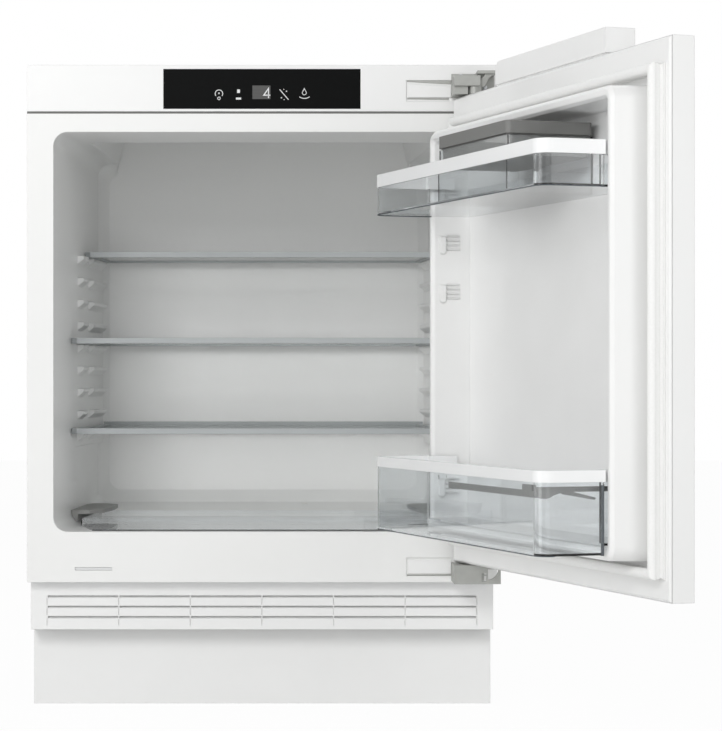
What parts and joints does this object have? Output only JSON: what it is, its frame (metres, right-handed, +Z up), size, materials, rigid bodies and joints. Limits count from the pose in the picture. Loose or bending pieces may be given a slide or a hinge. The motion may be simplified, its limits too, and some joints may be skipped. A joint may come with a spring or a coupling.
{
  "type": "built_under_refrigerator",
  "caption": "Built-under larder refrigerator with hinged door, door racks, glass shelves, ribbed liner, hinge brackets, louvred base grille and compressor compartment",
  "frame": {"origin": "On the floor, in the plane of the cabinet's front face, midway between its sides", "axes": "+X to the right seen from the front, +Y from the front to the rear wall, +Z up; the door is drawn open at 108 degrees"},
  "size_m": [0.7463, 1.0603, 0.818],
  "materials": {
    "outer_steel": "satin",
    "zinc_steel": "satin",
    "foam": "matte",
    "liner_plastic": "satin",
    "raw_aluminium": "satin",
    "white_plastic": "satin",
    "black_glass": "gloss",
    "display_grey": "gloss",
    "circuit_board": "satin",
    "clear_plastic": "gloss",
    "hinge_steel": "satin",
    "pin_steel": "satin",
    "grey_plastic": "satin",
    "black_steel": "satin",
    "mount_rubber": "matte",
    "black_plastic": "matte",
    "copper_pipe": "satin",
    "seal_rubber": "matte",
    "shelf_glass": "gloss",
    "trim_plastic": "satin"
  },
  "bodies": {
    "cabinet": {"left_side_panel": "outer_steel", "right_side_panel": "outer_steel", "top_cover": "outer_steel", "bottom_pan": "zinc_steel", "rear_panel": "zinc_steel", "foam_insulation": "foam", "front_frame": "outer_steel", "inner_liner": "liner_plastic", "evaporator_plate": "raw_aluminium", "fascia": "white_plastic", "control_glass": "black_glass", "display_window": "display_grey", "control_board": "circuit_board", "lamp_cover": "clear_plastic", "hinge_covers": "white_plastic", "service_slot": "white_plastic", "top_hinge_bracket": "hinge_steel", "bottom_hinge_bracket": "hinge_steel", "hinge_pins": "pin_steel", "tray_guides": "grey_plastic", "base_frame": "zinc_steel", "vent_grille": "white_plastic", "plinth_panel": "white_plastic", "feet": "grey_plastic", "compressor": "black_steel", "compressor_mounts": "mount_rubber", "compressor_relay": "black_plastic", "condenser_coil": "black_steel", "fan_shroud": "black_plastic", "fan_motor": "grey_plastic", "refrigerant_pipes": "copper_pipe", "evaporation_tray": "black_plastic", "drain_tube": "grey_plastic", "power_inlet": "black_plastic"},
    "door": {"door_panel": "outer_steel", "door_end_caps": "white_plastic", "door_foam": "foam", "door_liner": "liner_plastic", "door_gasket": "seal_rubber", "hinge_bushes": "grey_plastic", "furniture_bracket": "white_plastic", "bracket_screws": "pin_steel"},
    "upper_rack": {"upper_rack": "clear_plastic", "upper_rack_rim": "white_plastic"},
    "lower_rack": {"lower_rack": "clear_plastic", "lower_rack_rim": "white_plastic"},
    "bottle_holder": {"bottle_holder": "grey_plastic"},
    "storage_box": {"storage_box": "clear_plastic", "egg_tray": "grey_plastic"},
    "storage_lid": {"storage_lid": "grey_plastic"},
    "half_shelf": {"half_shelf_glass": "shelf_glass", "half_shelf_trim": "trim_plastic"},
    "middle_shelf": {"middle_shelf_glass": "shelf_glass", "middle_shelf_trim": "trim_plastic"},
    "lower_shelf": {"lower_shelf_glass": "shelf_glass", "lower_shelf_trim": "trim_plastic"},
    "floor_tray": {"floor_tray": "clear_plastic"},
    "fan": {"fan_blades": "black_plastic"}
  },
  "joints": [
    {"name": "door_swing", "type": "hinge", "parent": "cabinet", "child": "door", "pos_m": [0.267, -0.035, 0.48], "axis": [0, 0, 1], "range_deg": [-108, 7]},
    {"name": "upper_rack_lift", "type": "slide", "parent": "door", "child": "upper_rack", "axis": [0, 0, 1], "range_m": [0, 0.008]},
    {"name": "lower_rack_lift", "type": "slide", "parent": "door", "child": "lower_rack", "axis": [0, 0, 1], "range_m": [0, 0.01]},
    {"name": "bottle_holder_slide", "type": "slide", "parent": "lower_rack", "child": "bottle_holder", "axis": [-0.309, 0.9511, 0], "range_m": [0, 0.2]},
    {"name": "storage_box_slide", "type": "slide", "parent": "upper_rack", "child": "storage_box", "axis": [0.309, -0.9511, 0], "range_m": [0, 0.1]},
    {"name": "storage_lid_slide", "type": "slide", "parent": "storage_box", "child": "storage_lid", "axis": [-0.9511, -0.309, 0], "range_m": [0, 0.075]},
    {"name": "half_shelf_slide", "type": "slide", "parent": "cabinet", "child": "half_shelf", "axis": [0, -1, 0], "range_m": [0, 0.24]},
    {"name": "middle_shelf_slide", "type": "slide", "parent": "cabinet", "child": "middle_shelf", "axis": [0, -1, 0], "range_m": [0, 0.13]},
    {"name": "lower_shelf_slide", "type": "slide", "parent": "cabinet", "child": "lower_shelf", "axis": [0, -1, 0], "range_m": [0, 0.13]},
    {"name": "floor_tray_slide", "type": "slide", "parent": "cabinet", "child": "floor_tray", "axis": [0, -1, 0], "range_m": [0, 0.1]},
    {"name": "fan_spin", "type": "hinge", "parent": "cabinet", "child": "fan", "pos_m": [-0.008, 0.402, 0.092], "axis": [1, 0, 0], "continuous": true}
  ]
}
